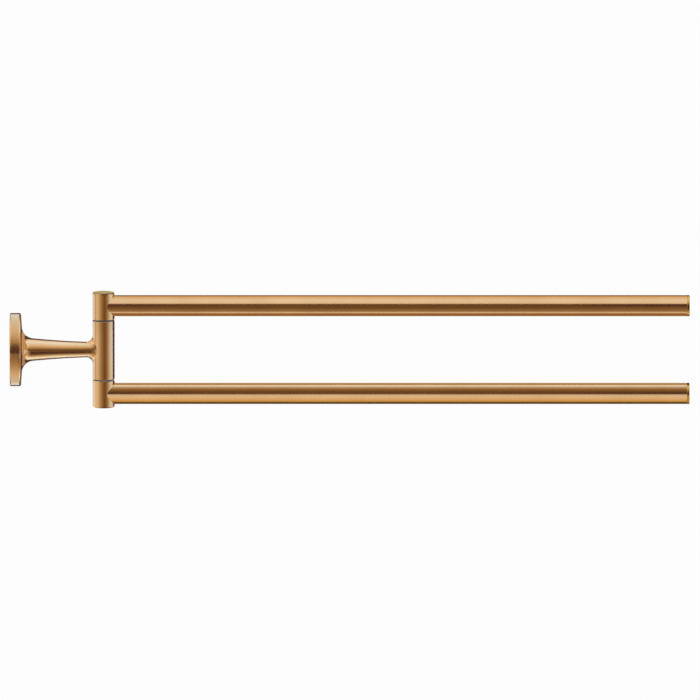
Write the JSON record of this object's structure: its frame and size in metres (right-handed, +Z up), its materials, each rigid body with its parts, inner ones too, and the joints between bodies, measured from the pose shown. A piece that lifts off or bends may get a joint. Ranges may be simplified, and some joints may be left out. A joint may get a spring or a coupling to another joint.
{
  "type": "two-arm towel holder",
  "caption": "Wall towel holder: straight rails swing one above the other on an upright pivot barrel, carried by a waisted stem on a round rosette.",
  "frame": {"origin": "centre of the face that lies on the wall", "axes": "+X out of the wall along the rails, +Z up along the pivot axis"},
  "size_m": [0.45, 0.0484, 0.0768],
  "materials": {
    "bronze": "brushed bronze",
    "gold": "polished",
    "slate_plastic": "moulded",
    "plated_steel": "zinc plated",
    "dark_steel": "blackened"
  },
  "bodies": {
    "wall_bracket": {"bracket": "bronze", "wall_plate": "plated_steel", "set_screw": "dark_steel", "pivot_shaft": "plated_steel", "keyed_washers": "plated_steel", "lock_washers": "plated_steel", "retaining_screws": "dark_steel"},
    "upper_arm": {"upper_hub": "bronze", "upper_rail": "bronze", "upper_end_cap": "gold", "upper_hub_cap": "bronze", "upper_bush": "slate_plastic", "upper_wave_washer": "plated_steel"},
    "lower_arm": {"lower_hub": "bronze", "lower_rail": "bronze", "lower_end_cap": "gold", "lower_hub_cap": "bronze", "lower_bush": "slate_plastic", "lower_wave_washer": "plated_steel"}
  },
  "joints": [
    {"name": "upper_arm_swing", "type": "hinge", "parent": "wall_bracket", "child": "upper_arm", "pos_m": [0.062, 0, 0.0294], "axis": [0, 0, 1], "range_deg": [-90, 90]},
    {"name": "lower_arm_swing", "type": "hinge", "parent": "wall_bracket", "child": "lower_arm", "pos_m": [0.062, 0, -0.0294], "axis": [0, 0, 1], "range_deg": [-90, 90]}
  ]
}
